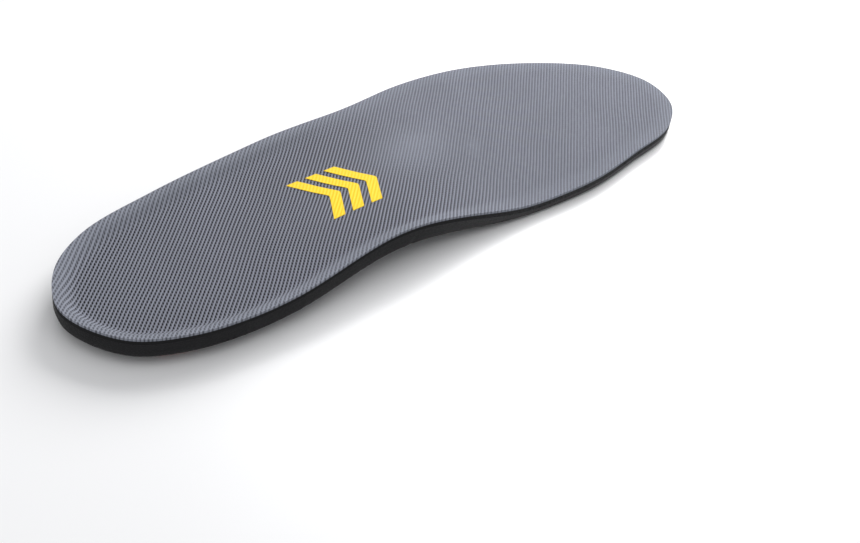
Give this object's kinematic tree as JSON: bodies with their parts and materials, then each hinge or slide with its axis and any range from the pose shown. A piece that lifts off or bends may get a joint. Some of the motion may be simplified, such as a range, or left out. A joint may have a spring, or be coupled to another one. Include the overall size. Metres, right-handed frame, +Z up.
{
  "type": "cushioned insole",
  "caption": "Cushioned left shoe insole: knitted cover on comfort foam, moulded foam base with heel cup and arch flange, soft red pads and a stiff shank underneath.",
  "frame": {"origin": "middle of the bounding box, at the level of the pads' undersides that the insole rests on", "axes": "+X from heel to toe, +Y to the outer (lateral) side of the foot, +Z up out of the knitted cover"},
  "size_m": [0.27, 0.0872, 0.0168],
  "materials": {
    "cover_fabric": "knitted polyester mesh, matt, ribbed",
    "comfort_foam": "open-cell cut foam, matt",
    "base_foam": "moulded polyurethane foam, fine leather grain, satin",
    "pad_gel": "soft red elastomer, satin",
    "shank_plastic": "smooth moulded plastic, semi-gloss",
    "print_film": "thin yellow heat-transfer film, matt"
  },
  "bodies": {
    "root": {"top_cover": "cover_fabric", "comfort_foam": "comfort_foam", "base_foam": "base_foam", "heel_pad": "pad_gel", "ball_pad": "pad_gel", "arch_shank": "shank_plastic", "print_chevron_1": "print_film", "print_chevron_2": "print_film", "print_chevron_3": "print_film"}
  },
  "joints": []
}
